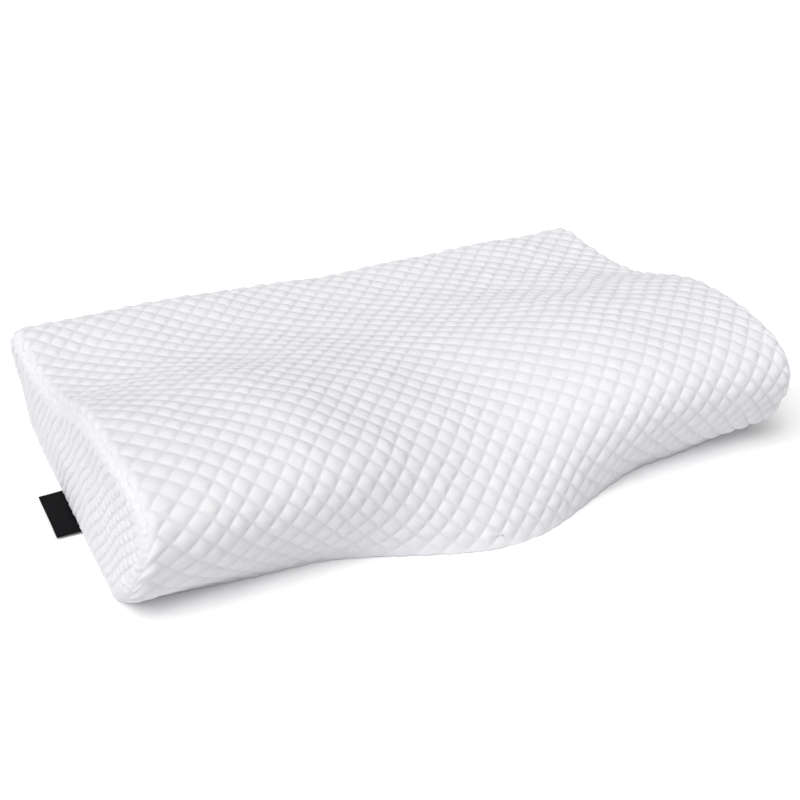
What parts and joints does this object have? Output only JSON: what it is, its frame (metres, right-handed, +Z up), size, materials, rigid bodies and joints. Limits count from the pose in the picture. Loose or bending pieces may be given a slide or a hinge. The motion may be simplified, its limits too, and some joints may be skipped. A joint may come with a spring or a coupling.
{
  "type": "contoured bed pillow",
  "caption": "Contoured foam bed pillow with two front wings and a neck cradle, in a diamond-quilted knit cover with end panels, a zip along the back and folded seam labels.",
  "frame": {"origin": "on the floor, at the middle of the pillow's flat underside", "axes": "+X along the pillow, to the right as seen from the winged front; +Y towards the straight back edge with the zip; +Z up"},
  "size_m": [0.654, 0.4035, 0.1213],
  "materials": {
    "foam": "fine open-cell foam, matte",
    "liner_knit": "thin plain jersey, matte",
    "quilted_knit": "soft double knit quilted in diamonds, matte with a slight sheen",
    "white_thread": "spun polyester thread",
    "zip_tape": "herringbone woven polyester tape",
    "zip_coil": "white nylon coil",
    "zip_metal": "white enamelled zinc, satin",
    "black_woven": "dense black satin weave",
    "white_satin": "smooth white satin ribbon"
  },
  "bodies": {
    "pillow": {"foam_core": "foam", "inner_liner": "liner_knit", "cover_wrap": "quilted_knit", "end_panel_left": "quilted_knit", "end_panel_right": "quilted_knit", "seam_overlock_left": "white_thread", "seam_overlock_right": "white_thread", "zip_tape_upper": "zip_tape", "zip_tape_lower": "zip_tape", "zip_coil_upper": "zip_coil", "zip_coil_lower": "zip_coil", "zip_top_stops": "zip_metal", "zip_bottom_stop": "zip_metal", "zip_stitches_upper": "white_thread", "zip_stitches_lower": "white_thread", "side_label": "black_woven", "care_label": "white_satin"},
    "slider": {"zip_slider": "zip_metal"},
    "pull": {"zip_pull": "zip_metal"}
  },
  "joints": [
    {"name": "zip_slide", "type": "slide", "parent": "pillow", "child": "slider", "axis": [-1, 0, 0], "range_m": [0, 0.48]},
    {"name": "pull_turn", "type": "hinge", "parent": "slider", "child": "pull", "pos_m": [0.24, 0.20085, 0.034], "axis": [0, 0, 1], "range_deg": [-180, 0]}
  ]
}
